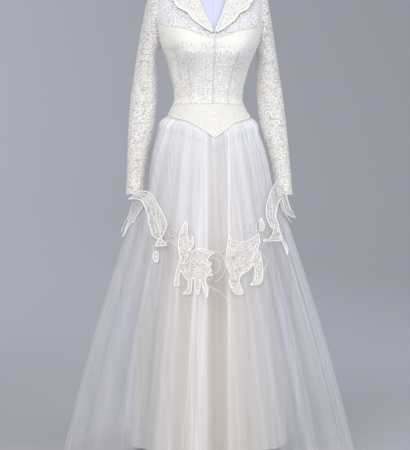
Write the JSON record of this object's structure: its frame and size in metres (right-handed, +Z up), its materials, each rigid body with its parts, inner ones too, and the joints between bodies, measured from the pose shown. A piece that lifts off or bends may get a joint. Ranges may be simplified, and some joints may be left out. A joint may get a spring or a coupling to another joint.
{
  "type": "wedding dress on a limbless dress form and stand",
  "caption": "Long-sleeved wedding dress, lace bodice with wing collar and pointed basque, layered tulle skirt, on a limbless dress form with stand.",
  "frame": {"origin": "centre of the base's underside, on the floor", "axes": "+Z up; the front of the dress faces -Y; +X is the wearer's left"},
  "size_m": [0.8308, 0.8358, 1.5073],
  "materials": {
    "ivory_lace": "dense re-embroidered lace over an ivory ground",
    "sheer_lace": "sheer leaf-patterned lace",
    "corded_lace": "cream net leaves with a white corded edge",
    "tulle": "fine transparent net",
    "satin": "ivory satin with a soft sheen",
    "form_cover": "smooth pale cover",
    "painted_cap": "pale satin paint",
    "stand_metal": "brushed steel"
  },
  "bodies": {
    "root": {"basque_back": "ivory_lace", "basque_front": "ivory_lace", "bodice_back_left": "ivory_lace", "bodice_back_right": "ivory_lace", "bodice_front_left": "ivory_lace", "bodice_front_right": "ivory_lace", "collar_left": "corded_lace", "collar_right": "corded_lace", "cuff_leaf_left": "corded_lace", "cuff_leaf_right": "corded_lace", "dress_form": "form_cover", "form_base": "stand_metal", "form_neck_cap": "painted_cap", "form_pole": "stand_metal", "leaf_back_finger_left": "corded_lace", "leaf_back_flower_left": "corded_lace", "leaf_back_horn_right": "corded_lace", "leaf_back_leg_right": "corded_lace", "leaf_back_sickle_left": "corded_lace", "leaf_back_sickle_right": "corded_lace", "leaf_back_side_left": "corded_lace", "leaf_back_side_right": "corded_lace", "leaf_bract_left": "corded_lace", "leaf_bud_left": "corded_lace", "leaf_drop_right": "corded_lace", "leaf_finger_inner": "corded_lace", "leaf_finger_middle": "corded_lace", "leaf_finger_outer": "corded_lace", "leaf_flower_right": "corded_lace", "leaf_frond_left": "corded_lace", "leaf_horn_left": "corded_lace", "leaf_horn_right": "corded_lace", "leaf_leg_left": "corded_lace", "leaf_leg_right": "corded_lace", "leaf_lobe_right": "corded_lace", "leaf_plume_left": "corded_lace", "leaf_sickle_left": "corded_lace", "leaf_sickle_right": "corded_lace", "leaf_side_left": "corded_lace", "leaf_side_right": "corded_lace", "leaf_tail_left": "corded_lace", "leaf_tip_right": "corded_lace", "leaf_wing_left": "corded_lace", "overskirt_back": "tulle", "overskirt_front": "tulle", "sleeve_left": "sheer_lace", "sleeve_right": "sheer_lace", "tulle_skirt_back": "tulle", "tulle_skirt_front": "tulle", "underskirt_back": "satin", "underskirt_front": "satin", "yoke_back": "sheer_lace", "yoke_front_left": "sheer_lace", "yoke_front_right": "sheer_lace"}
  },
  "joints": []
}
